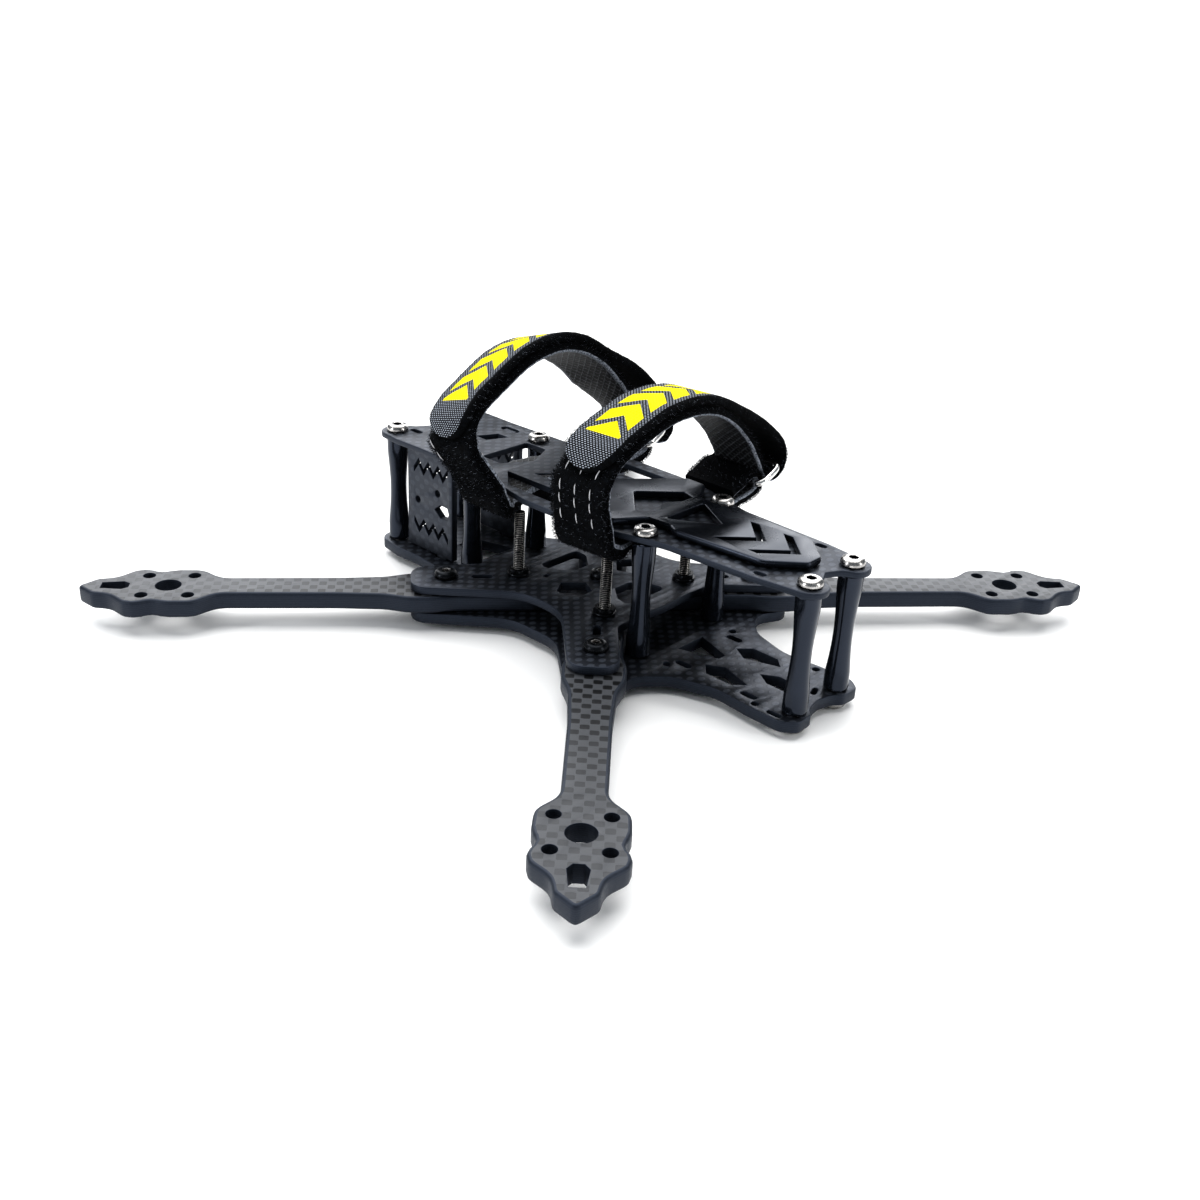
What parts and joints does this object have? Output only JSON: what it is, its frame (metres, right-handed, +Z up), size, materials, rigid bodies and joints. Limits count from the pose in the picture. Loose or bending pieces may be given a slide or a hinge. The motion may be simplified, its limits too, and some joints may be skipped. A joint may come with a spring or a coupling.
{
  "type": "quadcopter drone frame",
  "caption": "Racing quadcopter frame: flat carbon arms clamped between plates, a raised battery plate on standoffs, camera side plates and buckled battery straps.",
  "frame": {"origin": "on the ground under the middle of the frame, which is the middle of the bounding box in plan", "axes": "+X starboard, +Y nose, +Z up; the ground is z = 0, where the bottom screw heads rest"},
  "size_m": [0.1992, 0.1746, 0.07],
  "materials": {
    "carbon_plate": "satin woven carbon",
    "carbon_arm": "satin woven carbon, bevelled edges",
    "rubber_pad": "smooth",
    "black_anodised": "black anodised",
    "bright_steel": "bright",
    "black_steel": "black zinc",
    "strap_webbing": "woven hook and loop",
    "ring_steel": "polished wire"
  },
  "bodies": {
    "frame": {"bottom_plate": "carbon_plate", "mid_plate": "carbon_plate", "top_plate": "carbon_plate", "battery_pad": "rubber_pad", "arm_front_left": "carbon_arm", "arm_front_right": "carbon_arm", "arm_rear_left": "carbon_arm", "arm_rear_right": "carbon_arm", "camera_plate_left": "carbon_plate", "camera_plate_right": "carbon_plate", "standoff_nose_left": "black_anodised", "standoff_nose_right": "black_anodised", "standoff_front_left": "black_anodised", "standoff_front_right": "black_anodised", "standoff_rear_left": "black_anodised", "standoff_rear_right": "black_anodised", "standoff_tail_left": "black_anodised", "standoff_tail_right": "black_anodised", "top_screw_nose_left": "bright_steel", "top_screw_nose_right": "bright_steel", "top_screw_front_left": "bright_steel", "top_screw_front_right": "bright_steel", "top_screw_rear_left": "bright_steel", "top_screw_rear_right": "bright_steel", "top_screw_tail_left": "bright_steel", "top_screw_tail_right": "bright_steel", "bottom_screw_nose_left": "bright_steel", "bottom_screw_nose_right": "bright_steel", "bottom_screw_front_left": "bright_steel", "bottom_screw_front_right": "bright_steel", "bottom_screw_rear_left": "bright_steel", "bottom_screw_rear_right": "bright_steel", "bottom_screw_tail_left": "bright_steel", "bottom_screw_tail_right": "bright_steel", "stack_bolt_front_left": "black_steel", "stack_bolt_front_right": "black_steel", "stack_bolt_rear_left": "black_steel", "stack_bolt_rear_right": "black_steel", "stack_nut_front_left": "black_steel", "stack_nut_front_right": "black_steel", "stack_nut_rear_left": "black_steel", "stack_nut_rear_right": "black_steel", "arm_bolt_front_left": "black_steel", "arm_bolt_front_right": "black_steel", "arm_bolt_rear_left": "black_steel", "arm_bolt_rear_right": "black_steel", "arm_nut_front_left": "black_steel", "arm_nut_front_right": "black_steel", "arm_nut_rear_left": "black_steel", "arm_nut_rear_right": "black_steel", "centre_bolt": "black_steel", "centre_nut": "black_steel"},
    "rear_strap": {"strap_rear": "strap_webbing"},
    "rear_ring": {"strap_ring_rear": "ring_steel"},
    "front_strap": {"strap_front": "strap_webbing"},
    "front_ring": {"strap_ring_front": "ring_steel"}
  },
  "joints": [
    {"name": "rear_strap_slide", "type": "slide", "parent": "frame", "child": "rear_strap", "axis": [0, 1, 0], "range_m": [0, 0.004]},
    {"name": "front_strap_slide", "type": "slide", "parent": "frame", "child": "front_strap", "axis": [0, 1, 0], "range_m": [-0.008, 0.0015]},
    {"name": "rear_ring_swing", "type": "hinge", "parent": "rear_strap", "child": "rear_ring", "pos_m": [0.0325, -0.0146, 0.03665], "axis": [0, 1, 0], "range_deg": [-7, 7]},
    {"name": "front_ring_swing", "type": "hinge", "parent": "front_strap", "child": "front_ring", "pos_m": [0.0325, 0.0234, 0.03665], "axis": [0, 1, 0], "range_deg": [-7, 7]}
  ]
}
